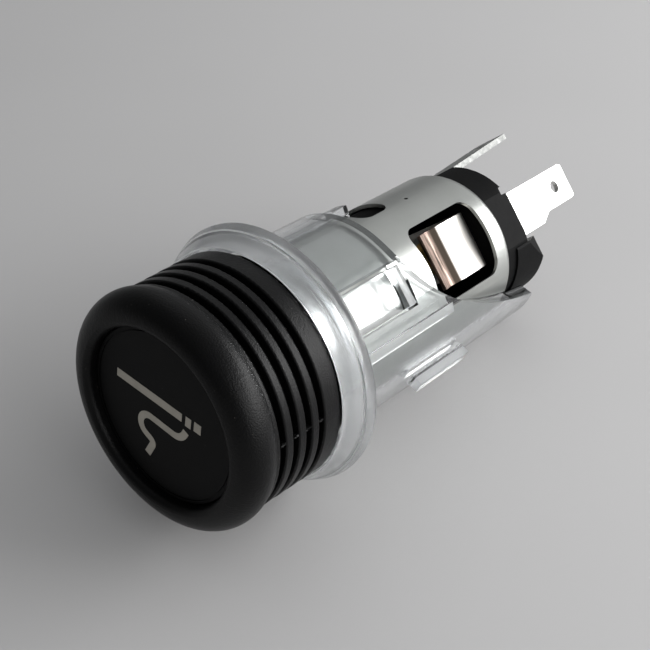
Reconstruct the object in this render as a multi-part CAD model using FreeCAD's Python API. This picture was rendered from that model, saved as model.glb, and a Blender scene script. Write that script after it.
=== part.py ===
import FreeCAD, Part
import math
import os

# Driving dimensions, in millimetres and degrees
# The axis runs along +Y from the knob to the terminals, and the flange's back face is at Y 0
socket_bore = 21.0
can_wall = 0.5
can_length = 36.7
can_flange_width = 2.0
can_corner = 1.2
window_width = 10.9
window_length = 13.3
window_to_bottom = 3.35
window_corner = 1.7
side_slot_width = 8.2
side_slot_length = 5.4
side_slot_to_bottom = 13.0
pinhole_bore = 0.55
pinhole_to_bottom = 9.8
pinhole_turn = -2.0

press_travel = 3.0
ring_ledge = 1.95
bezel_width = 1.95
bezel_depth = 2.4
lip_width = 0.2
flange_web = 0.5
flange_flare = 0.4
trim_line = 0.15
sleeve_wall = 1.9
sleeve_length = 14.8
collar_step = 1.5
collar_length = 2.4
tongue_length = 41.5
tongue_end_width = 14.4
tongue_corner = 0.8
root_turn = 123.0
root_power = 2.85
root_steps = 12
finger_count = 2
finger_width = 5.2
finger_slit = 0.45
finger_root = 3.6
finger_end_band = 0.35
nib_height = 1.0
nib_length = 2.3
nib_flat = 0.8
rail_width = 1.3
rail_height = 0.35
rail_length = 20.5
rail_turn = 64.8
key_width = 1.6
key_height = 1.4
key_front = 14.2
key_length = 10.4
key_turn = 26.0
hook_root_width = 3.4
hook_width = 1.7
hook_sheet = 1.2
hook_nib = 0.6

rim_round = 3.0
rim_proud = 0.3
rim_from_back = 12.35
recess_radius = 11.4
recess_depth = 1.45
groove_count = 4
groove_pitch = 2.1
groove_width = 0.85
groove_depth = 1.1
rib_round = 0.25
groove_from_back = 10.1
knob_waist = 0.2
knob_wall = 1.5
knob_web = 1.7
face_disc_thickness = 1.2
disc_line_inset = 0.5
disc_line_width = 0.2
disc_line_depth = 0.12
nut_thickness = 0.9
nut_radius = 3.9
nut_slits = 4

stem_radius = 1.9
stem_head_radius = 4.2
stem_head = 0.8
stop_collar_radius = 3.6
stop_collar_length = 1.2
guide_washer_thickness = 0.8
guide_washer_back = 14.8
spring_radius = 5.2
spring_wire = 0.9
spring_turns = 5
spring_steps = 18
spring_sides = 8
spring_seat_thickness = 0.6
barrel_sheet = 0.7
barrel_length = 19.0
barrel_flange_width = 2.6
tongue_count = 3
barrel_tongue_width = 5.0
barrel_tongue_length = 9.0
barrel_tongue_back = 3.0
barrel_slit = 0.6

cup_wall = 0.5
cup_length = 6.1
cup_bead = 0.5
cup_lip = 0.7
mica_thickness = 0.6
backing_thickness = 1.9
coil_width = 2.2
coil_ribbon = 0.3
coil_pitch = 1.0
coil_steps = 24
coil_post_radius = 1.2

liner_wall = 0.8
liner_bottom = 2.4
liner_window_margin = 0.5
liner_boss_radius = 4.6
clip_thickness = 0.5
clip_width = 7.9
clip_flat = 6.2
clip_neck = 1.6
clip_lip = 2.0
clip_pinch = 0.7
clip_bend = 1.0
rivet_radius = 1.6
rivet_head = 0.7
rivet_crown_share = 0.6
rivet_washer_radius = 3.4
rivet_washer_thickness = 0.5

insulator_step = 5.3
insulator_notch_width = 1.1
insulator_notch_depth = 0.9
insulator_height = 9.0
insulator_flat = 9.6
insulator_inset = 0.7
block_root = 3.2
block_proud = 0.3
block_slope = 2.0
terminal_sheet = 0.8
foot_height = 2.6
foot_length = 3.6
blade_offset = 3.7
blade_width = 5.5
blade_root_width = 6.7
blade_length = 24.0
blade_root_length = 14.5
blade_taper = 2.2
blade_hole = 1.9
blade_hole_to_tip = 3.6
blade_corner = 0.6
terminal_bend = 1.0
ground_width = 6.3
ground_length = 19.6
ground_radius = 9.0
ground_foot = 3.4
ground_splay = 1.3

# Named clearances
running_clearance = 0.06
press_clearance = 0.03
press_gap = 0.1
fit_clearance = 0.2
seat_clearance = 0.05
barrel_clearance = 0.3
grip_clearance = 0.3
liner_gap = 0.6
edge_break = 0.3
past = 5.0

# Clock angles about the axis, from +Z towards +X
quarter = 90
half_turns = (0, 180)
slot_from_window = 77
window_turn = 53.0
tongue_turn = window_turn + quarter
ground_turn = window_turn - quarter
slot_turn = window_turn - slot_from_window

# Radii that follow from the socket's bore
bore_radius = socket_bore / 2
can_radius = bore_radius + can_wall
can_flange_radius = can_radius + can_flange_width
can_inner_corner = max(can_corner - can_wall, edge_break)
sleeve_bore_radius = can_radius + fit_clearance
sleeve_radius = sleeve_bore_radius + sleeve_wall
collar_radius = sleeve_radius + collar_step
seat_radius = can_flange_radius + fit_clearance
mouth_radius = seat_radius + ring_ledge
knob_radius = mouth_radius - fit_clearance
lip_radius = mouth_radius + lip_width
flange_radius = mouth_radius + bezel_width
barrel_radius = bore_radius - barrel_clearance
barrel_bore_radius = barrel_radius - barrel_sheet
barrel_flange_radius = barrel_radius + barrel_flange_width
liner_radius = bore_radius - fit_clearance
liner_bore_radius = liner_radius - liner_wall
clip_reach = math.sqrt((liner_bore_radius - fit_clearance) ** 2 - (clip_width / 2) ** 2)
clip_leg = clip_reach - clip_thickness / 2
clip_waist = clip_leg - clip_pinch
bead_radius = clip_waist - clip_thickness / 2 - grip_clearance
cup_radius = bead_radius - cup_bead
cup_bore_radius = cup_radius - cup_wall
rim_outer = knob_radius + rim_proud
rivet_head_radius = blade_offset - terminal_bend - fit_clearance
knob_cavity_radius = knob_radius - knob_waist - groove_depth - knob_wall + edge_break
tip_turn = math.degrees(math.asin(tongue_end_width / 2 / sleeve_radius))

# Places along the axis, from the knob to the terminals
floor_back = 0.0
mouth_floor = floor_back - flange_web
knob_back = mouth_floor - press_gap - press_travel
lip_front = knob_back - fit_clearance
rim_along = knob_back - rim_from_back
knob_front = rim_along - rim_round
disc_front = knob_front + recess_depth
disc_back = disc_front + face_disc_thickness
nut_seat = disc_back + nut_thickness + edge_break
cavity_front = nut_seat + knob_web
barrel_front = mouth_floor + barrel_sheet
barrel_seat = barrel_front + barrel_sheet
can_front = barrel_seat + seat_clearance
can_seat = can_front + can_wall
can_back = can_front + can_length
can_floor = can_back - can_wall
window_back = can_back - window_to_bottom
window_front = window_back - window_length
slot_back = can_back - side_slot_to_bottom
slot_front = slot_back - side_slot_length
hook_back = slot_front + fit_clearance + hook_nib
barrel_back = barrel_front + barrel_length
liner_front = barrel_back + liner_gap
liner_floor = can_floor - liner_bottom
clip_base = liner_floor - clip_thickness / 2
clip_shoulder = clip_base - clip_flat
clip_waist_along = clip_shoulder - clip_neck
clip_tip = clip_waist_along - clip_lip
bead_along = clip_waist_along - press_travel
cup_back = bead_along + cup_lip
cup_front = cup_back - cup_length
mica_front = cup_front - mica_thickness
backing_front = cup_front + cup_wall
backing_back = backing_front + backing_thickness
coil_front = backing_back + fit_clearance
coil_back = coil_front + coil_width
insulator_low = can_back + insulator_step
insulator_back = can_back + insulator_height
block_front = insulator_low - block_root
foot_front = can_back + foot_height
foot_middle = foot_front + terminal_sheet / 2
foot_back = foot_front + terminal_sheet
blade_tip = foot_front + blade_length
sleeve_back = sleeve_length
finger_back = sleeve_back - finger_end_band - finger_slit

diagonal = math.sqrt(0.5)
axis = FreeCAD.Vector(0, 1, 0)
origin = FreeCAD.Vector(0, 0, 0)
blade_shift = FreeCAD.Vector((blade_root_width - blade_width) / 2, 0, 0)


def at(radius, along):
    return FreeCAD.Vector(radius, along, 0)


def outward(solid):
    return solid if solid.Volume > 0 else solid.reversed()


def turned(start, *steps):
    # Turns an outline of (radius, along) corners about the axis; a pair is an arc's middle and end
    edges = []
    here = at(*start)
    for step in steps + (start,):
        if isinstance(step[0], tuple):
            there = at(*step[1])
            edges.append(Part.Arc(here, at(*step[0]), there).toShape())
        else:
            there = at(*step)
            edges.append(Part.LineSegment(here, there).toShape())
        here = there
    return outward(Part.Face(Part.Wire(edges)).revolve(origin, axis, 360))


def tube(inner, outer, front, back):
    return turned((inner, front), (outer, front), (outer, back), (inner, back))


def rod(radius, front, back):
    return Part.makeCylinder(radius, back - front, at(0, front), axis)


def clocked(solid, degrees):
    return solid.rotated(origin, axis, degrees)


def slab(width, front, back, low, high, corner=0.0):
    # A block centred on X, with its four upright corners rounded
    block = Part.makeBox(width, back - front, high - low, FreeCAD.Vector(-width / 2, front, low))
    if corner:
        upright = [edge for edge in block.Edges if abs(edge.tangentAt(edge.FirstParameter).z) > diagonal]
        block = block.makeFillet(corner, upright)
    return block


def plate(outline, low, high):
    # A flat plate cut to (across, along) corners and lifted between two heights
    corners = [FreeCAD.Vector(across, along, low) for across, along in outline + outline[:1]]
    return Part.Face(Part.makePolygon(corners)).extrude(FreeCAD.Vector(0, 0, high - low))


def bent_strip(path, thickness, width, bend):
    # Sheet strip that follows (height, along) points on its mid line, with rounded bends
    across = FreeCAD.Vector(1, 0, 0)
    points = [FreeCAD.Vector(-width / 2, along, height) for height, along in path]
    runs = [(end - start).normalize() for start, end in zip(points, points[1:])]
    sides = [run.cross(across) for run in runs]
    edges = []
    ends = []
    for offset in (thickness / 2, -thickness / 2):
        here = points[0] + sides[0] * offset
        first = here
        for index, corner in enumerate(points[1:-1]):
            half_turn = runs[index].getAngle(runs[index + 1]) / 2
            reach = bend * math.tan(half_turn)
            inward = (runs[index + 1] - runs[index]).normalize()
            middle = corner + inward * (bend / math.cos(half_turn) - bend)
            middle_side = (sides[index] + sides[index + 1]).normalize()
            arc_start = corner - runs[index] * reach + sides[index] * offset
            arc_end = corner + runs[index + 1] * reach + sides[index + 1] * offset
            edges.append(Part.LineSegment(here, arc_start).toShape())
            edges.append(Part.Arc(arc_start, middle + middle_side * offset, arc_end).toShape())
            here = arc_end
        last = points[-1] + sides[-1] * offset
        edges.append(Part.LineSegment(here, last).toShape())
        ends.append((first, last))
    edges.append(Part.LineSegment(ends[0][0], ends[1][0]).toShape())
    edges.append(Part.LineSegment(ends[0][1], ends[1][1]).toShape())
    face = Part.Face(Part.Wire(Part.__sortEdges__(edges)))
    return outward(face.extrude(across * width))


# Clear light ring: bezel, panel flange, sleeve, long tongue, snap fingers, hooks and rails
def ring_body():
    step_along = lip_front + bezel_depth
    step_radius = flange_radius - flange_flare
    return turned(
        (mouth_radius, lip_front),
        (lip_radius, lip_front),
        (step_radius - trim_line, step_along),
        (step_radius - 2 * trim_line, step_along + trim_line),
        (step_radius, step_along + trim_line),
        (flange_radius, floor_back - edge_break),
        (flange_radius, floor_back),
        (collar_radius, floor_back),
        (collar_radius, collar_length - collar_step / 2),
        (sleeve_radius, collar_length),
        (sleeve_radius, tongue_length),
        (sleeve_bore_radius, tongue_length),
        (sleeve_bore_radius, can_seat),
        (seat_radius, can_seat),
        (seat_radius, mouth_floor),
        (mouth_radius, mouth_floor))


def wall_section(turn, back):
    # Strip through the sleeve's wall at one clock angle, reaching back to the wall's rear edge
    inner = sleeve_bore_radius - sleeve_wall
    outer = sleeve_radius + sleeve_wall
    front = sleeve_back - past
    corners = [at(inner, front), at(outer, front), at(outer, back), at(inner, back), at(inner, front)]
    return clocked(Part.makePolygon(corners), turn - quarter)


def tongue_waste():
    # What is cut off behind the sleeve, leaving the tongue, whose edges sweep up from the square end
    edge_section = Part.Face(wall_section(tongue_turn - tip_turn, tongue_length))
    keep = [edge_section.revolve(origin, axis, 2 * tip_turn)]
    for side in (-1, 1):
        sections = []
        for step in range(root_steps + 1):
            share = step / root_steps
            turn = root_turn + (tip_turn - root_turn) * share
            back = sleeve_back + (tongue_length - sleeve_back) * share ** root_power
            sections.append(wall_section(tongue_turn + side * turn, back))
        keep.append(outward(Part.makeLoft(sections, True)))
    blank = tube(sleeve_bore_radius - fit_clearance, flange_radius, sleeve_back, tongue_length + past)
    return blank.cut(keep)


def finger_slits():
    outer = slab(finger_width + 2 * finger_slit, finger_root, finger_back + finger_slit, 0, flange_radius)
    inner = slab(finger_width, finger_root - past, finger_back, 0, flange_radius)
    return outer.cut(inner)


def finger_nib():
    crest = sleeve_radius + nib_height
    root = sleeve_radius - sleeve_wall / 2
    front = finger_back - nib_length
    side = [FreeCAD.Vector(-finger_width / 2, along, height) for height, along in (
        (root, front), (crest, front), (crest, front + nib_flat), (sleeve_radius, finger_back),
        (root, finger_back), (root, front))]
    return Part.Face(Part.makePolygon(side)).extrude(FreeCAD.Vector(finger_width, 0, 0))


def slot_hook():
    # Springy arm behind the sleeve, with a nib that drops into the can's side slot
    root = hook_root_width / 2
    tip = hook_width / 2
    outer = sleeve_bore_radius + hook_sheet
    front = sleeve_back - finger_end_band
    outline = plate([(-root, front), (root, front), (tip, hook_back), (-tip, hook_back)], 0, flange_radius)
    arm = outline.common(tube(sleeve_bore_radius, outer, front, hook_back))
    nib_low = can_radius - can_wall / 2
    nib = slab(hook_width, hook_back - hook_nib, hook_back, nib_low, outer - hook_sheet / 2)
    return arm.fuse(nib)


def light_ring():
    ring = ring_body().cut(tongue_waste())
    corners = [edge for edge in ring.Edges if edge.Curve.TypeId == "Part::GeomLine"
               and all(abs(vertex.Y - tongue_length) < seat_clearance for vertex in edge.Vertexes)]
    ring = ring.makeFillet(tongue_corner, corners)
    for index in range(finger_count):
        turn = window_turn + 360 / finger_count * index
        ring = ring.cut(clocked(finger_slits(), turn)).fuse(clocked(finger_nib(), turn))
    rail = slab(rail_width, collar_length - trim_line, rail_length, sleeve_radius - sleeve_wall / 2,
                sleeve_radius + rail_height)
    key = slab(key_width, key_front, key_front + key_length, sleeve_radius - sleeve_wall / 2,
               sleeve_radius + key_height)
    for side in (-1, 1):
        ring = ring.fuse(clocked(rail, tongue_turn + side * rail_turn))
        ring = ring.fuse(clocked(key, tongue_turn + side * key_turn))
    for half_turn in half_turns:
        ring = ring.fuse(clocked(slot_hook(), slot_turn + half_turn))
    return ring.removeSplitter()


# Drawn steel can with windows, and side slots for the sleeve's hooks
def socket_can():
    outer_ease = can_corner * (1 - diagonal)
    outer_middle = (can_radius - outer_ease, can_back - outer_ease)
    inner_ease = can_inner_corner * (1 - diagonal)
    inner_middle = (bore_radius - inner_ease, can_floor - inner_ease)
    boss_hole = liner_boss_radius + fit_clearance
    can = turned(
        (bore_radius, can_front),
        (can_flange_radius, can_front),
        (can_flange_radius, can_seat),
        (can_radius, can_seat),
        (can_radius, can_back - can_corner),
        (outer_middle, (can_radius - can_corner, can_back)),
        (boss_hole, can_back),
        (boss_hole, can_floor),
        (bore_radius - can_inner_corner, can_floor),
        (inner_middle, (bore_radius, can_floor - can_inner_corner)))
    reach = can_flange_radius
    window = slab(window_width, window_front, window_back, 0, reach, window_corner)
    side_slot = slab(side_slot_width, slot_front, slot_back, 0, reach, window_corner)
    for half_turn in half_turns:
        can = can.cut(clocked(window, window_turn + half_turn))
        can = can.cut(clocked(side_slot, slot_turn + half_turn))
    pinhole = Part.makeCylinder(pinhole_bore / 2, reach, at(0, can_back - pinhole_to_bottom))
    return can.cut(clocked(pinhole, pinhole_turn)).removeSplitter()


# Black insulating liner that lines the can and carries the clip
def clip_liner():
    bush = liner_boss_radius
    hole = rivet_radius + press_clearance
    liner = turned(
        (liner_bore_radius, liner_front),
        (liner_radius, liner_front),
        (liner_radius, can_floor - can_inner_corner),
        (liner_radius - can_inner_corner, can_floor),
        (bush, can_floor),
        (bush, can_back),
        (hole, can_back),
        (hole, liner_floor),
        (liner_bore_radius, liner_floor))
    window = slab(window_width + 2 * liner_window_margin, window_front - liner_window_margin, liner_floor, 0,
                  can_flange_radius)
    for half_turn in half_turns:
        liner = liner.cut(clocked(window, window_turn + half_turn))
    return liner


# Bimetal clip: two spring legs that hold the pressed plug until it is hot
def bimetal_clip():
    leg = [(clip_leg, clip_base), (clip_leg, clip_shoulder), (clip_waist, clip_waist_along),
           (clip_leg, clip_tip)]
    mirrored = [(-height, along) for height, along in reversed(leg)]
    clip = bent_strip(mirrored + leg, clip_thickness, clip_width, clip_bend)
    hole = rod(rivet_radius + press_clearance, liner_floor - past, liner_floor + past)
    return clocked(clip.cut(hole), window_turn)


def rivet_washer():
    back = liner_floor - clip_thickness
    return tube(rivet_radius + press_clearance, rivet_washer_radius, back - rivet_washer_thickness, back)


def terminal_rivet():
    inner_seat = liner_floor - clip_thickness - rivet_washer_thickness
    crown = rivet_head_radius * rivet_crown_share
    return turned(
        (0, inner_seat - rivet_head),
        (crown, inner_seat - rivet_head),
        (rivet_head_radius, inner_seat - rivet_head / 2),
        (rivet_head_radius, inner_seat),
        (rivet_radius, inner_seat),
        (rivet_radius, foot_back),
        (rivet_head_radius, foot_back),
        (rivet_head_radius, foot_back + rivet_head / 2),
        (crown, foot_back + rivet_head),
        (0, foot_back + rivet_head))


# Moulded insulator behind the can: a low base beside the blade and one raised block
def rear_insulator():
    radius = can_radius - insulator_inset
    reach = can_flange_radius
    base = turned((0, can_back), (radius, can_back), (radius, insulator_low - edge_break),
                  (radius - edge_break, insulator_low), (0, insulator_low))
    base = base.common(slab(2 * reach, can_back, insulator_low, -insulator_flat, insulator_flat))
    block_side = blade_root_width - blade_width / 2 + fit_clearance
    block_top = insulator_flat - block_slope
    outline = [(insulator_flat, block_front), (insulator_flat, insulator_low),
               (block_top, insulator_back), (-block_top, insulator_back),
               (-insulator_flat, insulator_low), (-insulator_flat, block_front)]
    corners = [FreeCAD.Vector(block_side, along, height) for height, along in outline + outline[:1]]
    block = Part.Face(Part.makePolygon(corners)).extrude(FreeCAD.Vector(reach, 0, 0))
    solid = base.fuse(block.common(rod(radius + block_proud, block_front, insulator_back)))
    notch = slab(insulator_notch_width, insulator_low - insulator_notch_width, insulator_low,
                 insulator_flat - insulator_notch_depth, reach)
    solid = solid.cut(notch.translated(FreeCAD.Vector(-blade_width / 2 - insulator_notch_width, 0, 0)))
    foot_pocket = slab(blade_root_width + fit_clearance, foot_front, insulator_back + past,
                       -foot_length - fit_clearance,
                       blade_offset + terminal_sheet / 2 + fit_clearance).translated(blade_shift)
    solid = clocked(solid.cut(foot_pocket), window_turn)
    notch_width = ground_width + fit_clearance
    inner_face = ground_radius - terminal_sheet / 2 - fit_clearance
    foot_slot = slab(notch_width, can_back, can_back + terminal_sheet + seat_clearance,
                     ground_radius - ground_foot - fit_clearance, reach)
    tab_notch = slab(notch_width, can_back, insulator_back, inner_face, reach)
    bend_relief = slab(notch_width, can_back, can_back + terminal_sheet + terminal_bend,
                       inner_face - terminal_bend, reach)
    solid = solid.cut(clocked(foot_slot.fuse([tab_notch, bend_relief]), ground_turn))
    return solid.cut(rod(rivet_radius + press_clearance, can_back, foot_front))


# Live blade terminal, riveted by its foot and bent to run straight back
def centre_terminal():
    path = [(-foot_length, foot_middle), (blade_offset, foot_middle), (blade_offset, blade_tip)]
    strip = bent_strip(path, terminal_sheet, blade_root_width, terminal_bend).translated(blade_shift)
    half = blade_width / 2
    root_side = blade_root_width - half
    root_end = foot_front + blade_root_length
    outline = plate([(-half, can_back), (root_side, can_back), (root_side, root_end),
                     (half, root_end + blade_taper), (half, blade_tip - blade_corner),
                     (half - blade_corner / 2, blade_tip), (blade_corner / 2 - half, blade_tip),
                     (-half, blade_tip - blade_corner)], -can_radius, can_radius)
    hole = Part.makeCylinder(blade_hole / 2, can_radius, at(0, blade_tip - blade_hole_to_tip))
    rivet_hole = rod(rivet_radius + press_clearance, can_back, foot_back + past)
    return clocked(strip.common(outline).cut(hole).cut(rivet_hole), window_turn)


# Earth strap: a foot on the can's bottom and a blade beside the insulator
def ground_terminal():
    foot_along = can_back + terminal_sheet / 2
    tip = can_back + ground_length
    path = [(ground_radius - ground_foot, foot_along), (ground_radius, foot_along),
            (ground_radius + ground_splay, tip)]
    strip = bent_strip(path, terminal_sheet, ground_width, terminal_bend)
    half = ground_width / 2
    outline = plate([(-half, can_back), (half, can_back), (half, tip - blade_corner),
                     (half - blade_corner, tip), (blade_corner - half, tip), (-half, tip - blade_corner)],
                    0, ground_radius + ground_splay + past)
    hole = Part.makeCylinder(blade_hole / 2, 2 * can_radius, at(0, tip - blade_hole_to_tip))
    return clocked(strip.common(outline).cut(hole), ground_turn)


# Plug barrel: a drawn sleeve with a stop flange and spring tongues
def plug_barrel():
    stem_hole = stem_radius + running_clearance
    barrel = turned(
        (stem_hole, barrel_front),
        (barrel_flange_radius, barrel_front),
        (barrel_flange_radius, barrel_seat),
        (barrel_radius, barrel_seat),
        (barrel_radius, barrel_back),
        (barrel_bore_radius, barrel_back),
        (barrel_bore_radius, barrel_seat),
        (stem_hole, barrel_seat))
    back = barrel_back - barrel_tongue_back
    front = back - barrel_tongue_length
    outer = slab(barrel_tongue_width + 2 * barrel_slit, front, back + barrel_slit, 0, can_radius)
    inner = slab(barrel_tongue_width, front - past, back, 0, can_radius)
    for index in range(tongue_count):
        barrel = barrel.cut(clocked(outer.cut(inner), index * 360 / tongue_count))
    return barrel


def spring_seat():
    front = barrel_front - spring_seat_thickness
    return tube(stem_radius + fit_clearance, spring_radius + spring_wire, front, barrel_front)


# Moulded knob: fat rounded rim, grip grooves and a smooth band at the back
def knob_outline():
    neck = knob_radius - knob_waist
    neck_rise = math.sqrt(rim_round ** 2 - (neck - rim_outer + rim_round) ** 2)
    crest = rim_outer - rim_round
    inner_round = crest - recess_radius
    steps = [(recess_radius, disc_back), (recess_radius, knob_front + inner_round)]
    inner_middle = (crest - inner_round * diagonal, knob_front + inner_round * (1 - diagonal))
    steps.append((inner_middle, (crest, knob_front)))
    steps.append(((crest + rim_round * diagonal, rim_along - rim_round * diagonal), (rim_outer, rim_along)))
    middle_turn = math.asin(neck_rise / rim_round) / 2
    middle = (crest + rim_round * math.cos(middle_turn), rim_along + rim_round * math.sin(middle_turn))
    steps.append((middle, (neck, rim_along + neck_rise)))
    ease = rib_round * (1 - diagonal)
    for index in range(groove_count):
        front_edge = knob_back - groove_from_back + index * groove_pitch
        back_edge = front_edge + groove_width
        rib = neck + knob_waist * index / groove_count
        next_rib = neck + knob_waist * (index + 1) / groove_count
        steps += [
            (rib, front_edge - rib_round),
            ((rib - ease, front_edge - ease), (rib - rib_round, front_edge)),
            (rib - groove_depth, front_edge),
            (rib - groove_depth, back_edge),
            (next_rib - rib_round, back_edge),
            ((next_rib - ease, back_edge + ease), (next_rib, back_edge + rib_round))]
    return steps


def knob():
    return turned(
        (nut_radius + fit_clearance, disc_back),
        *knob_outline(),
        (knob_radius, knob_back - edge_break),
        (knob_radius - edge_break, knob_back),
        (knob_cavity_radius, knob_back),
        (knob_cavity_radius, cavity_front),
        (stem_radius + press_clearance, cavity_front),
        (stem_radius + press_clearance, nut_seat),
        (nut_radius + fit_clearance, nut_seat))


def face_disc():
    radius = recess_radius - running_clearance
    bevel = edge_break / 2
    line_outer = radius - disc_line_inset
    line_inner = line_outer - disc_line_width
    line_floor = disc_front + disc_line_depth
    return turned(
        (0, disc_front),
        (line_inner, disc_front),
        (line_inner, line_floor),
        (line_outer, line_floor),
        (line_outer, disc_front),
        (radius - bevel, disc_front),
        (radius, disc_front + bevel),
        (radius, disc_back),
        (0, disc_back))


def stem_nut():
    # Push-on nut with spring teeth between its slits
    front = nut_seat - nut_thickness
    nut = tube(stem_radius + press_clearance, nut_radius, front, nut_seat)
    slit = slab(barrel_slit, front, nut_seat, 0, (stem_radius + nut_radius) / 2)
    for index in range(nut_slits):
        nut = nut.cut(clocked(slit, index * 360 / nut_slits))
    return nut


def stem():
    front = disc_back + edge_break / 2
    head_front = mica_front - stem_head
    return turned((0, front), (stem_radius - edge_break, front), (stem_radius, front + edge_break),
                  (stem_radius, head_front), (stem_head_radius, head_front), (stem_head_radius, mica_front),
                  (0, mica_front))


def stop_collar():
    front = barrel_seat + seat_clearance
    return tube(stem_radius + press_clearance, stop_collar_radius, front, front + stop_collar_length)


def guide_washer():
    radius = barrel_bore_radius - running_clearance
    return tube(stem_radius + press_clearance, radius, guide_washer_back - guide_washer_thickness,
                guide_washer_back)


# Return spring between the knob and its seat on the barrel
def return_spring():
    front = cavity_front + spring_wire / 2 + seat_clearance
    back = barrel_front - spring_seat_thickness - spring_wire / 2 - seat_clearance
    corners = []
    for side in range(spring_sides):
        angle = 2 * math.pi * side / spring_sides
        radius = spring_radius + spring_wire / 2 * math.cos(angle)
        corners.append(at(radius, spring_wire / 2 * math.sin(angle)))
    ring = Part.makePolygon(corners + corners[:1])
    steps = spring_turns * spring_steps
    sections = []
    for step in range(steps + 1):
        along = front + (back - front) * step / steps
        sections.append(clocked(ring, 360 * step / spring_steps).translated(at(0, along)))
    return outward(Part.makeLoft(sections, True, True))


# Heating element at the plug's end
def cup_insulator():
    return tube(coil_post_radius + press_clearance, cup_radius - fit_clearance, mica_front, cup_front)


def element_cup():
    hole = coil_post_radius + fit_clearance
    return turned(
        (hole, cup_front),
        (cup_radius, cup_front),
        (cup_radius, bead_along - cup_bead),
        ((bead_radius, bead_along), (cup_radius, bead_along + cup_bead)),
        (cup_radius, cup_back),
        (cup_bore_radius, cup_back),
        (cup_bore_radius, backing_front),
        (hole, backing_front))


def coil_backing():
    return tube(coil_post_radius + press_clearance, cup_bore_radius - press_clearance, backing_front,
                backing_back)


def coil_post():
    return rod(coil_post_radius, mica_front, coil_back)


def heating_coil():
    # Spiral ribbon from the centre post out to the cup's wall
    inner = coil_post_radius + press_clearance
    outer = cup_bore_radius - press_clearance - coil_ribbon
    turns = (outer - inner) / coil_pitch
    steps = max(int(turns * coil_steps), coil_steps)
    sides = []
    for shift in (0, coil_ribbon):
        points = []
        for index in range(steps + 1):
            share = index / steps
            radius = inner + shift + (outer - inner) * share
            angle = 2 * math.pi * turns * share
            points.append(FreeCAD.Vector(radius * math.cos(angle), coil_front, radius * math.sin(angle)))
        sides.append(points)
    outline = sides[0] + sides[1][::-1] + sides[0][:1]
    return outward(Part.Face(Part.makePolygon(outline)).extrude(axis * coil_width))


sub_parts = [
    light_ring, socket_can, clip_liner, bimetal_clip, rivet_washer, terminal_rivet, rear_insulator,
    centre_terminal, ground_terminal, plug_barrel, spring_seat, knob, face_disc, stem_nut, stem, stop_collar,
    guide_washer, return_spring, cup_insulator, element_cup, coil_backing, coil_post, heating_coil]

os.makedirs("parts", exist_ok=True)
for sub_part in sub_parts:
    solid = sub_part()
    solid.exportStep("parts/" + sub_part.__name__ + ".step")
    print(sub_part.__name__, solid.ShapeType, len(solid.Solids), solid.isValid(), round(solid.Volume, 2))
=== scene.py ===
import math

import bmesh
import bpy
from mathutils import Matrix, Vector


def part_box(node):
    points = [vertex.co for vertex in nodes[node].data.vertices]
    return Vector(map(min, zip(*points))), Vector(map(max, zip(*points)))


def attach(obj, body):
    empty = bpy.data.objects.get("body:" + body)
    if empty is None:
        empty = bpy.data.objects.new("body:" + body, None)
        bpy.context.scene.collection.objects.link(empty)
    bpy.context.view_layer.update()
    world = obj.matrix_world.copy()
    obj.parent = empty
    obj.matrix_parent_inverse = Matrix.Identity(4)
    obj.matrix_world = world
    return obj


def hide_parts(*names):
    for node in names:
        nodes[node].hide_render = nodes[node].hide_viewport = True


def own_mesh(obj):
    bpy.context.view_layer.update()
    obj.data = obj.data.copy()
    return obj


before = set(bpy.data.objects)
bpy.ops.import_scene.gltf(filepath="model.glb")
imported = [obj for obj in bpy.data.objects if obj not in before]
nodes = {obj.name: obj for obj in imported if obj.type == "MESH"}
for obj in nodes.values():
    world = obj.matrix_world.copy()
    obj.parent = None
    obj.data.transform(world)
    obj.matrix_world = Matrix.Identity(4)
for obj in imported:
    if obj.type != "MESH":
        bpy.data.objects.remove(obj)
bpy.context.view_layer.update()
mm = 0.001
print("frame loaded with", len(nodes), "nodes")


def linearColour(hexText):  # sRGB hex to the linear values that shaders take
    channels = [int(hexText[place:place + 2], 16) / 255 for place in (1, 3, 5)]
    return [c / 12.92 if c <= 0.04045 else ((c + 0.055) / 1.055) ** 2.4 for c in channels] + [1.0]


def addNode(owner, kind, settings=None, links=None):
    node = owner.node_tree.nodes.new(kind)
    for name, value in (settings or {}).items():
        if hasattr(node, str(name)):
            setattr(node, name, value)
        else:
            node.inputs[name].default_value = value
    for name, source in (links or {}).items():
        owner.node_tree.links.new(source, node.inputs[name])
    return node


mixShare, mixFirst, mixSecond, mixResult = 0, 6, 7, 2  # sockets of a Mix node that mixes colours
softDetail, grainDetail, lineDetail = 2.0, 3.0, 4.0  # octaves in a noise


def noise(owner, place, sizeMm, detail):
    return addNode(owner, "ShaderNodeTexNoise", {"Scale": 1 / (sizeMm * mm), "Detail": detail},
                   {"Vector": place}).outputs["Fac"]


def remap(owner, value, source=(0.0, 1.0), target=(0.0, 1.0)):
    return addNode(owner, "ShaderNodeMapRange",
                   {"From Min": source[0], "From Max": source[1], "To Min": target[0], "To Max": target[1]},
                   {"Value": value}).outputs["Result"]


def blend(owner, share, first, second):  # each colour is a hex text or the output of a node
    settings, links = {"data_type": "RGBA"}, {mixShare: share}
    for socket, colour in ((mixFirst, first), (mixSecond, second)):
        if isinstance(colour, str):
            settings[socket] = linearColour(colour)
        else:
            links[socket] = colour
    return addNode(owner, "ShaderNodeMix", settings, links).outputs[mixResult]


def dents(owner, height, strength, deepMm):
    return addNode(owner, "ShaderNodeBump", {"Strength": strength, "Distance": deepMm * mm},
                   {"Height": height}).outputs["Normal"]


def maths(owner, operation, first, second):  # of two outputs
    return addNode(owner, "ShaderNodeMath", {"operation": operation}, {0: first, 1: second}).outputs["Value"]


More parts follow.
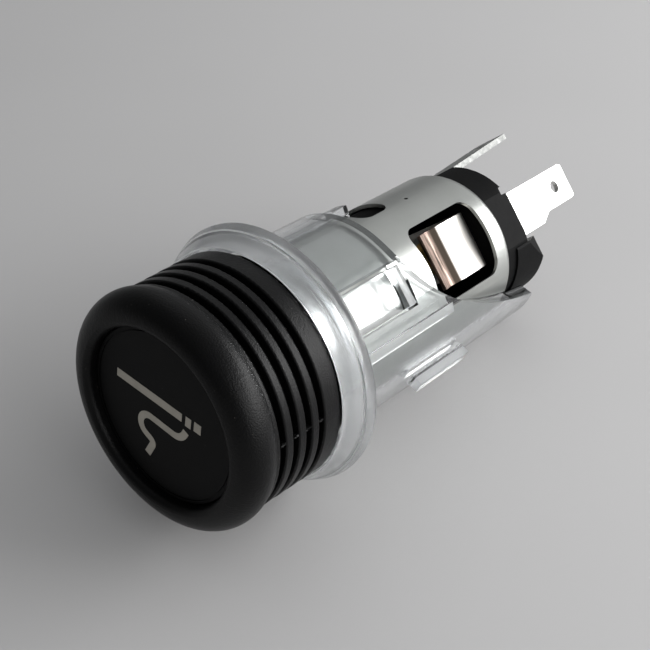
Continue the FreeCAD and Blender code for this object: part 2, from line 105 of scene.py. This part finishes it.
def startMaterial(name):  # an empty node tree with Object coordinates
    material = bpy.data.materials.new(name)
    material.use_nodes = True
    material.node_tree.nodes.clear()
    return material, addNode(material, "ShaderNodeTexCoord").outputs["Object"]


def finishMaterial(material, settings, links):
    shader = addNode(material, "ShaderNodeBsdfPrincipled", settings, links)
    addNode(material, "ShaderNodeOutputMaterial", links={"Surface": shader.outputs["BSDF"]})
    return material


def deselectAll():
    if bpy.context.mode != "OBJECT":
        bpy.ops.object.mode_set(mode="OBJECT")
    bpy.ops.object.select_all(action="DESELECT")


# Camera, table and light

cameraView = {
    "place": (89.54, -94.19, 82.00),  # mm from the origin of the frame
    "forward": (-0.5563, 0.6528, -0.5142),
    "up": (-0.3362, 0.3890, 0.8577),
    "lens": 69.2,
    "sensor": 36.0,
    "nearClip": 0.005,  # m
}


def makeCamera():
    deselectAll()
    bpy.ops.object.camera_add(location=(0, 0, 0))
    camera = bpy.context.object
    camera.name = "photo_camera"
    camera.data.lens = cameraView["lens"]
    camera.data.sensor_width = cameraView["sensor"]
    camera.data.clip_start = cameraView["nearClip"]
    forward = Vector(cameraView["forward"]).normalized()
    right = forward.cross(Vector(cameraView["up"])).normalized()
    up = right.cross(forward)
    turn = Matrix((right, up, -forward)).transposed().to_4x4()
    camera.matrix_world = Matrix.Translation(Vector(cameraView["place"]) * mm) @ turn
    bpy.context.scene.camera = camera


tableTop = {
    "low": -17.1,  # mm, under the ring's flange
    "rise": 0.0964,  # the ring's tongue lifts the rear by this much for each mm
    "size": 8.0,  # m
    "colour": "#cbcaca",
    "shade": "#c1c0c0",
    "cloudMm": 90.0,
    "grainMm": 0.5,
    "grainDeep": 0.02,  # mm
    "bump": 0.05,
    "roughness": 0.6,
}


def makeTableTop():
    deselectAll()
    bpy.ops.mesh.primitive_plane_add(size=tableTop["size"], location=(0, 0, tableTop["low"] * mm))
    table = bpy.context.object
    table.name = "table_top"
    table.rotation_euler = (math.atan(tableTop["rise"]), 0, 0)
    bpy.ops.object.transform_apply(location=True, rotation=True)
    # Matt painted board: even and pale, with faint clouding
    material, place = startMaterial("painted_board_matt")
    cloud = noise(material, place, tableTop["cloudMm"], softDetail)
    grain = noise(material, place, tableTop["grainMm"], grainDetail)
    finishMaterial(material, {"Roughness": tableTop["roughness"]}, {
        "Base Color": blend(material, cloud, tableTop["colour"], tableTop["shade"]),
        "Normal": dents(material, grain, tableTop["bump"], tableTop["grainDeep"])})
    table.data.materials.append(material)


studioLight = {
    "window": (0.63, 0.65, 0.42),  # the bright side of the room lies this way
    "spread": (-0.7, 0.9),  # how far a direction faces the window where the light is dim, and where bright
    "dim": "#838484",
    "bright": "#eceef0",
    "strength": 0.47,
    "lamps": (
        # name, place in mm, width and height in m, power in W
        ("window_lamp", (330, 365, 195), (0.55, 0.28), 3.3),
        ("side_lamp", (430, 30, 130), (0.45, 0.25), 1.1),
        ("ceiling_lamp", (-120, 220, 420), (0.60, 0.60), 0.4),
    ),
    "aim": (0, 20, 0),  # mm
}


def makeLights():
    world = bpy.data.worlds.new("studio_world")
    bpy.context.scene.world = world
    world.use_nodes = True
    backdrop = world.node_tree.nodes["Background"]
    backdrop.inputs["Strength"].default_value = studioLight["strength"]
    # The room's light falls off from the window side to the dim side
    way = addNode(world, "ShaderNodeTexCoord").outputs["Generated"]
    facing = addNode(world, "ShaderNodeVectorMath", {"operation": "DOT_PRODUCT", 1: studioLight["window"]},
                     {0: way}).outputs["Value"]
    share = remap(world, facing, studioLight["spread"])
    tone = blend(world, share, studioLight["dim"], studioLight["bright"])
    world.node_tree.links.new(tone, backdrop.inputs["Color"])
    aim = Vector(studioLight["aim"]) * mm
    for name, place, (width, height), power in studioLight["lamps"]:
        deselectAll()
        spot = Vector(place) * mm
        bpy.ops.object.light_add(type="AREA", location=spot)
        lamp = bpy.context.object
        lamp.name = name
        lamp.data.shape = "RECTANGLE"
        lamp.data.size = width
        lamp.data.size_y = height
        lamp.data.energy = power
        lamp.rotation_euler = (aim - spot).to_track_quat("-Z", "Y").to_euler()


bpy.context.scene.view_settings.view_transform = "Standard"
makeCamera()
makeTableTop()
makeLights()
print("camera, table and lights are set")


# Materials

lineDeep = 0.1  # depth of a line or ripple, as a share of its width


def mouldedFinish(spec):
    # Tool texture gives a fine grain, slow waves keep highlights uneven, and a little dust lies on top
    material, place = startMaterial(spec["name"])
    grain = noise(material, place, spec["grainMm"], grainDetail)
    wave = noise(material, place, spec["waveMm"], softDetail)
    tone = blend(material, wave, spec["colour"], spec["worn"])
    speck = addNode(material, "ShaderNodeTexVoronoi", {"Scale": 1 / (spec["dustMm"] * mm)}, {"Vector": place})
    dusty = remap(material, speck.outputs["Distance"], (spec["dustShare"], spec["dustShare"] / 2))
    return finishMaterial(material, {"IOR": spec["ior"], "Specular IOR Level": spec["shine"]}, {
        "Base Color": blend(material, dusty, tone, spec["dust"]),
        "Roughness": remap(material, grain, target=spec["roughness"]),
        "Normal": dents(material, grain, spec["bump"], spec["grainDeep"])})


def metalFinish(spec):
    # Worked metal under its coat: fine lines along one way, and soft blotches in the coat
    material, place = startMaterial(spec["name"])
    stretched = addNode(material, "ShaderNodeMapping", {"Scale": spec["stretch"]}, {"Vector": place})
    lines = noise(material, stretched.outputs["Vector"], spec["lineMm"], lineDetail)
    blotch = noise(material, place, spec["blotchMm"], grainDetail)
    return finishMaterial(material, {"Metallic": 1.0}, {
        "Base Color": blend(material, blotch, spec["colour"], spec["shade"]),
        "Roughness": remap(material, lines, target=spec["roughness"]),
        "Normal": dents(material, lines, spec["bump"], spec["lineMm"] * lineDeep)})


def bimetalFinish(spec):
    # Bright on the flat legs, with painted shade as a dark band in the bend at each neck, and copper-coloured
    # on the lips
    material, place = startMaterial(spec["name"])
    along = addNode(material, "ShaderNodeSeparateXYZ", links={"Vector": place}).outputs["Y"]
    across = addNode(material, "ShaderNodeMapping",
                     {"vector_type": "TEXTURE", "Rotation": (0, math.radians(spec["turn"]), 0),
                      "Scale": (spec["stretch"], 1.0, 1.0)}, {"Vector": place})
    lines = noise(material, across.outputs["Vector"], spec["lineMm"], lineDetail)
    streaks = remap(material, lines, spec["streaks"])
    # Painted shade: a dark band where the strip bends in at the neck, drawn with the dark lip colour
    neckShade = remap(material, along, (spec["neckShadeFrom"] * mm, spec["neckShadeTo"] * mm))
    streaksAndNeckShade = maths(material, "MAXIMUM", streaks, neckShade)
    copperWithNeckShade = blend(material, streaksAndNeckShade, spec["lip"], spec["lipDarkAndNeckShade"])
    lip = remap(material, along, (spec["lipFrom"] * mm, spec["lipTo"] * mm))
    return finishMaterial(material, {"Metallic": 1.0}, {
        "Base Color": blend(material, lip, spec["colour"], copperWithNeckShade),
        "Roughness": remap(material, lines, target=spec["roughness"]),
        "Normal": dents(material, lines, spec["bump"], spec["lineMm"] * lineDeep)})


def clearFinish(spec):
    # Clear moulding: ripples bend what lies behind, and matt tool faces make bezel and nibs hazy and milky
    material, place = startMaterial(spec["name"])
    along = addNode(material, "ShaderNodeSeparateXYZ", links={"Vector": place}).outputs["Y"]
    bezel = remap(material, along, (spec["clearFrom"] * mm, spec["hazyTo"] * mm), (0.0, spec["bezelHaze"]))
    across = addNode(material, "ShaderNodeVectorMath", {"operation": "MULTIPLY", 1: (1.0, 0.0, 1.0)},
                     {0: place})
    radius = addNode(material, "ShaderNodeVectorMath", {"operation": "LENGTH"}, {0: across.outputs["Vector"]})
    proud = remap(material, radius.outputs["Value"], (spec["proudFrom"] * mm, spec["proudTo"] * mm))
    behind = addNode(material, "ShaderNodeMath", {"operation": "GREATER_THAN", 1: spec["nibsFrom"] * mm},
                     {0: along})
    nibs = maths(material, "MULTIPLY", proud, behind.outputs["Value"])
    haze = maths(material, "MAXIMUM", bezel, nibs)
    ripple = noise(material, place, spec["rippleMm"], softDetail)
    return finishMaterial(material, {"Base Color": linearColour(spec["colour"]), "IOR": spec["ior"]}, {
        "Roughness": remap(material, haze, target=spec["roughness"]),
        "Transmission Weight": remap(material, haze, target=(1.0, 1 - spec["milk"])),
        "Normal": dents(material, ripple, spec["bump"], spec["rippleMm"] * lineDeep)})


alongAxis = (1.0, 0.12, 1.0)  # lines run along the axis
roundAxis = (0.25, 1.0, 0.25)  # turning and spinning marks run round it

finishes = {
    # ABS moulded in a spark-eroded tool: dull black, fine grain that sparkles where light grazes it
    "knob": (mouldedFinish, {
        "name": "abs_moulded_black", "colour": "#060607", "worn": "#0a0a0a", "ior": 1.5,
        "shine": 0.16, "roughness": (0.28, 0.42), "grainMm": 0.2, "grainDeep": 0.05, "waveMm": 4.0,
        "bump": 1.0, "dust": "#6f6b66", "dustMm": 1.1, "dustShare": 0.045,
    }),
    # ABS insert from the same tool shop, with a finer grain
    "face_disc": (mouldedFinish, {
        "name": "abs_moulded_black_fine", "colour": "#050506", "worn": "#080808", "ior": 1.5,
        "shine": 0.12, "roughness": (0.45, 0.55), "grainMm": 0.25, "grainDeep": 0.02, "waveMm": 5.0,
        "bump": 0.4, "dust": "#5c5955", "dustMm": 1.6, "dustShare": 0.03,
    }),
    # Acrylic, clear moulded: bright edges, with a hazy bezel
    "light_ring": (clearFinish, {
        "name": "acrylic_moulded_clear", "colour": "#f5f7f8", "ior": 1.45,
        "roughness": (0.04, 0.30), "milk": 0.14, "clearFrom": 1.4, "hazyTo": 0.2, "bezelHaze": 0.6,
        "nibsFrom": 2.6, "proudFrom": 13.2, "proudTo": 13.4, "rippleMm": 2.5, "bump": 0.05,
    }),
    # Zinc-plated steel, deep drawn: cool grey, with drawn lines along the can
    "socket_can": (metalFinish, {
        "name": "zinc_plated_steel_drawn", "colour": "#bcbebb", "shade": "#acaeaa",
        "roughness": (0.26, 0.38), "lineMm": 0.35, "blotchMm": 4.0, "stretch": alongAxis,
        "bump": 0.15,
    }),
    # Fibre, pressed: black with hardly any shine
    "clip_liner": (mouldedFinish, {
        "name": "fibre_pressed_black", "colour": "#060606", "worn": "#0b0a0a", "ior": 1.4,
        "shine": 0.1, "roughness": (0.75, 0.9), "grainMm": 0.3, "grainDeep": 0.03, "waveMm": 3.0,
        "bump": 0.5, "dust": "#1c1b1a", "dustMm": 1.5, "dustShare": 0.05,
    }),
    # Bimetal strip, rolled: bright, with roll marks across the strip
    "bimetal_clip": (bimetalFinish, {
        "name": "bimetal_strip_rolled", "colour": "#f2efe9", "lip": "#b09b90", "lipDarkAndNeckShade": "#3d3630",
        # The neck numbers place the band of painted shade in the bend, in mm along the axis; the dark lip
        # colour serves both the streaks and this painted shade
        "lipFrom": 28.9, "lipTo": 28.0, "neckShadeFrom": 26.7, "neckShadeTo": 27.3, "streaks": (0.35, 0.65),
        "roughness": (0.30, 0.42), "lineMm": 0.5, "turn": 53.0, "stretch": 8.0, "bump": 0.1,
    }),
    # Phenolic, compression moulded: matt black, a little greyer where it was ground flat
    "rear_insulator": (mouldedFinish, {
        "name": "phenolic_moulded_black", "colour": "#09090a", "worn": "#111111", "ior": 1.5,
        "shine": 0.06, "roughness": (0.5, 0.66), "grainMm": 0.3, "grainDeep": 0.04, "waveMm": 2.5,
        "bump": 0.45, "dust": "#4a4846", "dustMm": 1.4, "dustShare": 0.04,
    }),
    # Brass, tin-plated and stamped: almost white
    "centre_terminal": (metalFinish, {
        "name": "tin_plated_brass_stamped", "colour": "#f1f1ee", "shade": "#e4e4e0",
        "roughness": (0.30, 0.42), "lineMm": 0.25, "blotchMm": 3.0, "stretch": alongAxis,
        "bump": 0.12,
    }),
    # The same sheet, greyer and rougher where it was sheared
    "ground_terminal": (metalFinish, {
        "name": "tin_plated_brass_sheared", "colour": "#c0c1bf", "shade": "#686967",
        "roughness": (0.50, 0.80), "lineMm": 0.8, "blotchMm": 1.0, "stretch": (1.0, 1.0, 1.0),
        "bump": 1.0,
    }),
    # Steel, stamped and zinc-plated
    "rivet_washer": (metalFinish, {
        "name": "zinc_plated_steel_stamped", "colour": "#c6c8c4", "shade": "#b2b5b0",
        "roughness": (0.30, 0.45), "lineMm": 0.3, "blotchMm": 2.0, "stretch": roundAxis,
        "bump": 0.15,
    }),
    # Brass, turned: warm yellow, with tool marks round the head
    "terminal_rivet": (metalFinish, {
        "name": "brass_turned", "colour": "#cfae6e", "shade": "#b8965a", "roughness": (0.22, 0.36),
        "lineMm": 0.15, "blotchMm": 1.5, "stretch": roundAxis, "bump": 0.2,
    }),
    # Steel, nickel-plated after drawing: bright, with drawn lines along the barrel
    "plug_barrel": (metalFinish, {
        "name": "nickel_plated_steel_drawn", "colour": "#d0ccc2", "shade": "#bfbab0",
        "roughness": (0.18, 0.32), "lineMm": 0.3, "blotchMm": 5.0, "stretch": alongAxis,
        "bump": 0.12,
    }),
    # Steel, stamped and zinc-plated, with spinning marks
    "spring_seat": (metalFinish, {
        "name": "zinc_plated_steel_seat", "colour": "#c4c6c2", "shade": "#adb0ab",
        "roughness": (0.30, 0.45), "lineMm": 0.3, "blotchMm": 2.0, "stretch": roundAxis,
        "bump": 0.15,
    }),
    # Spring steel, hardened and oiled: dark blue-grey
    "stem_nut": (metalFinish, {
        "name": "spring_steel_oil_blackened", "colour": "#6b6e74", "shade": "#54565b",
        "roughness": (0.32, 0.48), "lineMm": 0.2, "blotchMm": 1.5, "stretch": roundAxis,
        "bump": 0.15,
    }),
    # Steel, turned: bright, with tool marks round the shaft
    "stem": (metalFinish, {
        "name": "mild_steel_turned", "colour": "#bfbfbd", "shade": "#a9a9a7",
        "roughness": (0.22, 0.36), "lineMm": 0.15, "blotchMm": 2.0, "stretch": roundAxis,
        "bump": 0.2,
    }),
    # Steel, turned from the same bar, a little duller
    "stop_collar": (metalFinish, {
        "name": "mild_steel_turned_collar", "colour": "#b9b9b6", "shade": "#a2a2a0",
        "roughness": (0.24, 0.38), "lineMm": 0.15, "blotchMm": 1.5, "stretch": roundAxis,
        "bump": 0.2,
    }),
    # Steel, stamped and zinc-plated, with marks round the hole
    "guide_washer": (metalFinish, {
        "name": "zinc_plated_steel_guide", "colour": "#c6c8c4", "shade": "#b0b3ae",
        "roughness": (0.30, 0.45), "lineMm": 0.3, "blotchMm": 2.5, "stretch": roundAxis,
        "bump": 0.15,
    }),
    # Mica, split into a sheet: golden brown with a pearly sheen
    "cup_insulator": (mouldedFinish, {
        "name": "mica_split_sheet", "colour": "#8d7a58", "worn": "#b09b75", "ior": 1.58,
        "shine": 0.5, "roughness": (0.20, 0.40), "grainMm": 0.6, "grainDeep": 0.06, "waveMm": 2.0,
        "bump": 0.3, "dust": "#d8c9a6", "dustMm": 0.9, "dustShare": 0.12,
    }),
    # Stainless steel, drawn, with a straw tint from its own heat
    "element_cup": (metalFinish, {
        "name": "stainless_steel_heat_tinted", "colour": "#c9bda6", "shade": "#a69a8c",
        "roughness": (0.22, 0.38), "lineMm": 0.25, "blotchMm": 2.5, "stretch": roundAxis,
        "bump": 0.15,
    }),
    # Steatite, pressed and fired: chalky white
    "coil_backing": (mouldedFinish, {
        "name": "steatite_pressed_fired", "colour": "#d8d2c4", "worn": "#c4bcab", "ior": 1.55,
        "shine": 0.5, "roughness": (0.6, 0.8), "grainMm": 0.2, "grainDeep": 0.02, "waveMm": 1.5,
        "bump": 0.4, "dust": "#8f8676", "dustMm": 0.8, "dustShare": 0.08,
    }),
    # Nickel wire, drawn: warm grey, with lines along it
    "coil_post": (metalFinish, {
        "name": "nickel_wire_drawn", "colour": "#b8b2a8", "shade": "#9b958c",
        "roughness": (0.26, 0.42), "lineMm": 0.15, "blotchMm": 1.0, "stretch": alongAxis,
        "bump": 0.15,
    }),
    # Resistance ribbon, rolled and oxidised by heat: dark grey-brown
    "heating_coil": (metalFinish, {
        "name": "resistance_ribbon_oxidised", "colour": "#6e6760", "shade": "#524c48",
        "roughness": (0.40, 0.58), "lineMm": 0.2, "blotchMm": 1.2, "stretch": alongAxis,
        "bump": 0.2,
    }),
}

for name, (finish, spec) in finishes.items():
    nodes[name].data.materials.clear()
    nodes[name].data.materials.append(finish(spec))
print("finishes are on", len(finishes), "nodes")


# Printed sign on the face disc: a bar, two embers and a curl

pressSign = {
    "lean": 9.5,  # degrees
    "ink": 0.03,  # mm, thickness
    "sunk": 0.01,  # mm of it in the disc
    # across from and to, height of the middle, width, in mm
    "blocks": ((-7.74, 2.96, 1.77, 1.15), (3.55, 4.42, 1.72, 1.40), (4.90, 5.98, 1.85, 1.35)),
    "curlStart": (3.77, 0.19),
    "curlHeading": -112.0,
    "curlWidth": 0.95,
    "edgeReach": 0.52,  # finds the leading edge, as a share of the stroke's width
    "curlRuns": ((0.6, 0), (2.1, -70), (3.8, 0), (4.2, 160), (0.9, 0), (1.0, -90), (1.85, 0)),  # mm, degrees
    "turnStep": 12.0,  # degrees for each piece of a bend
    # Ink, screen printed: dull silver
    "finish": {
        "name": "screen_print_ink_silver", "colour": "#aaa59a", "worn": "#bdb8ad", "ior": 1.5,
        "shine": 0.5, "roughness": (0.45, 0.6), "grainMm": 0.25, "grainDeep": 0.02, "waveMm": 1.5,
        "bump": 0.2, "dust": "#8d887d", "dustMm": 0.7, "dustShare": 0.06,
    },
}


def addBlock(left, right, height, width):
    # A unit plane stretched to its size, in edit mode
    bpy.ops.mesh.select_all(action="DESELECT")
    bpy.ops.mesh.primitive_plane_add(size=1.0)
    bpy.ops.transform.resize(value=((right - left) * mm, width * mm, 1.0), center_override=(0, 0, 0))
    bpy.ops.transform.translate(value=((left + right) / 2 * mm, height * mm, 0))


def selectNear(piece, spot, reach):  # in edit mode, the vertices within reach of a point
    bpy.ops.mesh.select_all(action="DESELECT")
    shape = bmesh.from_edit_mesh(piece.data)
    for vertex in shape.verts:
        vertex.select = (vertex.co - spot).length < reach
    shape.select_flush(True)
    bmesh.update_edit_mesh(piece.data)


def addCurl(piece):
    # The stroke's leading edge is drawn out along each run, and turned at each step of a bend
    (firstLength, _), *runs = pressSign["curlRuns"]
    heading = math.radians(pressSign["curlHeading"])
    here = Vector(pressSign["curlStart"]).to_3d() * mm
    addBlock(0, firstLength, 0, pressSign["curlWidth"])
    bpy.ops.transform.rotate(value=-heading, orient_axis="Z", center_override=(0, 0, 0))
    bpy.ops.transform.translate(value=here)
    here += Vector((math.cos(heading), math.sin(heading), 0)) * firstLength * mm
    selectNear(piece, here, pressSign["curlWidth"] * pressSign["edgeReach"] * mm)
    for length, turn in runs:
        steps = max(1, round(abs(turn) / pressSign["turnStep"]))
        part = math.radians(turn) / steps
        for _ in range(steps):
            way = Vector((math.cos(heading + part / 2), math.sin(heading + part / 2), 0))
            bpy.ops.mesh.extrude_region_move(TRANSFORM_OT_translate={"value": way * length / steps * mm})
            here += way * length / steps * mm
            heading += part
            if turn:
                bpy.ops.transform.rotate(value=-part, orient_axis="Z", center_override=here)


def makePressSign():
    deselectAll()
    bpy.ops.mesh.primitive_plane_add(size=1.0)
    sign = bpy.context.object
    sign.name = "press_sign"
    bpy.ops.object.mode_set(mode="EDIT")
    bpy.ops.mesh.delete(type="VERT")
    for block in pressSign["blocks"]:
        addBlock(*block)
    addCurl(sign)
    bpy.ops.mesh.select_all(action="SELECT")
    bpy.ops.mesh.normals_make_consistent(inside=False)
    bpy.ops.object.mode_set(mode="OBJECT")
    sign.modifiers.new("ink", "SOLIDIFY").thickness = pressSign["ink"] * mm
    bpy.ops.object.modifier_apply(modifier="ink")
    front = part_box("face_disc")[0].y - (pressSign["ink"] - pressSign["sunk"]) * mm
    sign.location = (0, front, 0)
    sign.rotation_euler = (math.pi / 2, math.radians(pressSign["lean"]), 0)
    bpy.ops.object.transform_apply(location=True, rotation=True)
    sign.data.materials.append(mouldedFinish(pressSign["finish"]))
    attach(sign, "knob")


makePressSign()
print("the sign is printed")


# Flash left across the grip grooves where the two halves of the tool met

mouldFlash = {
    "turn": 87.5,  # degrees round the axis from the top
    "firstGroove": -13.7,  # mm along the axis
    "pitch": 2.1,
    "count": 4,
    "groove": 0.85,
    "ribRadius": 14.75,
    "height": 0.95,
    "thickness": 0.22,
    "ragged": 0.07,
    "cuts": 4,
    "firstSeed": 5,
}


def makeMouldFlash():
    turn = math.radians(mouldFlash["turn"])
    radius = mouldFlash["ribRadius"] - mouldFlash["height"] / 2
    bits = []
    for index in range(mouldFlash["count"]):
        deselectAll()
        along = mouldFlash["firstGroove"] + mouldFlash["groove"] / 2 + index * mouldFlash["pitch"]
        bpy.ops.mesh.primitive_cube_add(size=1.0)
        bit = bpy.context.object
        bit.name = "mould_flash"
        bit.scale = Vector((mouldFlash["thickness"], mouldFlash["groove"], mouldFlash["height"])) * mm
        bit.location = Vector((math.sin(turn) * radius, along, math.cos(turn) * radius)) * mm
        bit.rotation_euler = (0, turn, 0)
        bpy.ops.object.transform_apply(location=True, rotation=True, scale=True)
        bpy.ops.object.mode_set(mode="EDIT")
        bpy.ops.mesh.subdivide(number_cuts=mouldFlash["cuts"])
        bpy.ops.transform.vertex_random(offset=mouldFlash["ragged"] * mm, uniform=1.0,
                                        seed=index + mouldFlash["firstSeed"])
        bpy.ops.object.mode_set(mode="OBJECT")
        bits.append(bit)
    for bit in bits:
        bit.select_set(True)
    bpy.context.view_layer.objects.active = bits[0]
    bpy.ops.object.join()
    flash = bpy.context.object
    flash.name = "mould_flash"
    flash.data.materials.append(nodes["knob"].data.materials[0])
    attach(flash, "knob")


makeMouldFlash()
print("the flash is in the grooves")


# Return spring, round and smooth, in the place of its plain solid

springWire = {
    "wire": 0.9,  # mm
    "radius": 5.2,
    "turns": 5,
    "steps": 36,  # sections in a turn
    "sides": 14,
    "travel": 3.0,  # mm that the knob presses in
    "weld": 0.001,  # mm, joins points closer than this
    "smooth": 40.0,  # degrees, edges flatter than this are smooth
    # Spring steel wire, drawn and oiled: dark and shiny along the wire
    "finish": {
        "name": "spring_steel_wire_drawn", "colour": "#8b8d90", "shade": "#6f7174",
        "roughness": (0.22, 0.36), "lineMm": 0.2, "blotchMm": 2.0, "stretch": (1.0, 1.0, 1.0),
        "bump": 0.15,
    },
}


def makeSpring():
    low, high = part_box("return_spring")
    length = high.y - low.y
    rise = length - springWire["wire"] * mm
    deselectAll()
    bpy.ops.mesh.primitive_circle_add(vertices=springWire["sides"], radius=springWire["wire"] / 2 * mm)
    spring = bpy.context.object
    spring.name = "spring_coil"
    spring.location = (springWire["radius"] * mm, 0, 0)
    spring.rotation_euler = (math.pi / 2, 0, 0)
    bpy.ops.object.transform_apply(location=True, rotation=True)
    screw = spring.modifiers.new("coil", "SCREW")
    screw.axis = "Z"
    screw.iterations = springWire["turns"]
    screw.screw_offset = rise / springWire["turns"]
    screw.steps = springWire["steps"]
    screw.render_steps = springWire["steps"]
    bpy.ops.object.modifier_apply(modifier="coil")
    bpy.ops.object.mode_set(mode="EDIT")
    bpy.ops.mesh.select_all(action="SELECT")
    bpy.ops.mesh.remove_doubles(threshold=springWire["weld"] * mm)
    bpy.ops.mesh.fill_holes(sides=0)
    bpy.ops.mesh.select_all(action="SELECT")
    bpy.ops.mesh.normals_make_consistent(inside=False)
    bpy.ops.object.mode_set(mode="OBJECT")
    bpy.ops.object.shade_smooth_by_angle(angle=math.radians(springWire["smooth"]))
    spring.rotation_euler = (-math.pi / 2, 0, 0)  # its axis turns from up to along the plug
    spring.location = (0, low.y + springWire["wire"] / 2 * mm, 0)
    bpy.ops.object.transform_apply(location=True, rotation=True)
    spring.data.materials.append(metalFinish(springWire["finish"]))
    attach(spring, "knob")
    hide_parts("return_spring")
    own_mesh(spring)


makeSpring()
print("the spring is wound")
